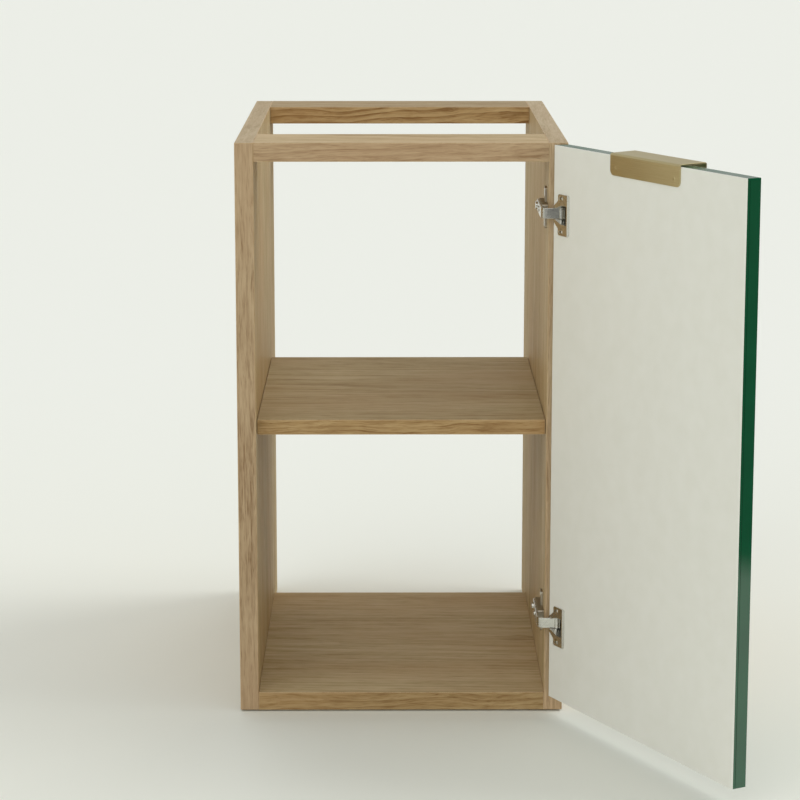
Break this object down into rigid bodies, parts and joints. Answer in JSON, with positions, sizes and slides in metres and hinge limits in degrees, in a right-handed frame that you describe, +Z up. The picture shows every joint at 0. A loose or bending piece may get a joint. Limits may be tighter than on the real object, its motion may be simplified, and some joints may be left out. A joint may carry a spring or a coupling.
{
  "type": "bathroom cabinet",
  "caption": "Open-backed oak bathroom base cabinet with a shelf, open top for a basin, and a green gloss overlay door on concealed hinges with a brass edge pull.",
  "frame": {"origin": "middle of the carcass footprint, on the floor", "axes": "+Z up, -Y out of the open front, +X towards the hinged side"},
  "size_m": [0.4378, 0.6994, 0.5317],
  "materials": {
    "oak_board": "natural oak veneer, matt lacquer, fine straight grain",
    "oak_edging": "natural oak edging strip, matt lacquer",
    "door_core": "plain fibreboard, hidden inside the door",
    "white_lining": "warm white smooth sheet",
    "green_gloss": "high-gloss dark green",
    "brass": "brushed champagne brass",
    "nickel_hinge": "nickel plated, satin",
    "plated_screw": "nickel plated",
    "zinc": "bare zinc casting",
    "beech": "plain turned beech"
  },
  "bodies": {
    "carcass": {"left_side_panel": "oak_board", "right_side_panel": "oak_board", "bottom_panel": "oak_board", "front_top_rail": "oak_board", "back_top_rail": "oak_board", "shelf_panel": "oak_board", "left_side_edging": "oak_edging", "right_side_edging": "oak_edging", "bottom_edging": "oak_edging", "front_rail_edging": "oak_edging", "back_rail_edging": "oak_edging", "shelf_edging": "oak_edging", "wooden_dowels": "beech", "cam_bolts": "zinc", "cam_discs": "zinc", "shelf_pins": "plated_screw", "upper_mounting_plate": "nickel_hinge", "lower_mounting_plate": "nickel_hinge", "mounting_plate_screws": "plated_screw", "upper_hinge_arm": "nickel_hinge", "lower_hinge_arm": "nickel_hinge", "arm_fixing_screws": "plated_screw", "arm_adjusting_screws": "plated_screw"},
    "door": {"door_panel": "door_core", "door_lining": "white_lining", "door_gloss_face": "green_gloss", "door_top_edging": "green_gloss", "door_bottom_edging": "green_gloss", "door_free_edging": "green_gloss", "door_hinge_edging": "green_gloss", "upper_hinge_cup": "nickel_hinge", "lower_hinge_cup": "nickel_hinge", "hinge_cup_screws": "plated_screw", "upper_hinge_pin": "nickel_hinge", "lower_hinge_pin": "nickel_hinge", "edge_pull": "brass", "edge_pull_screws": "brass"}
  },
  "joints": [
    {"name": "door_swing", "type": "hinge", "parent": "carcass", "child": "door", "pos_m": [0.1443, -0.22363, 0.2785], "axis": [0, 0, 1], "range_deg": [-118, 7]}
  ]
}
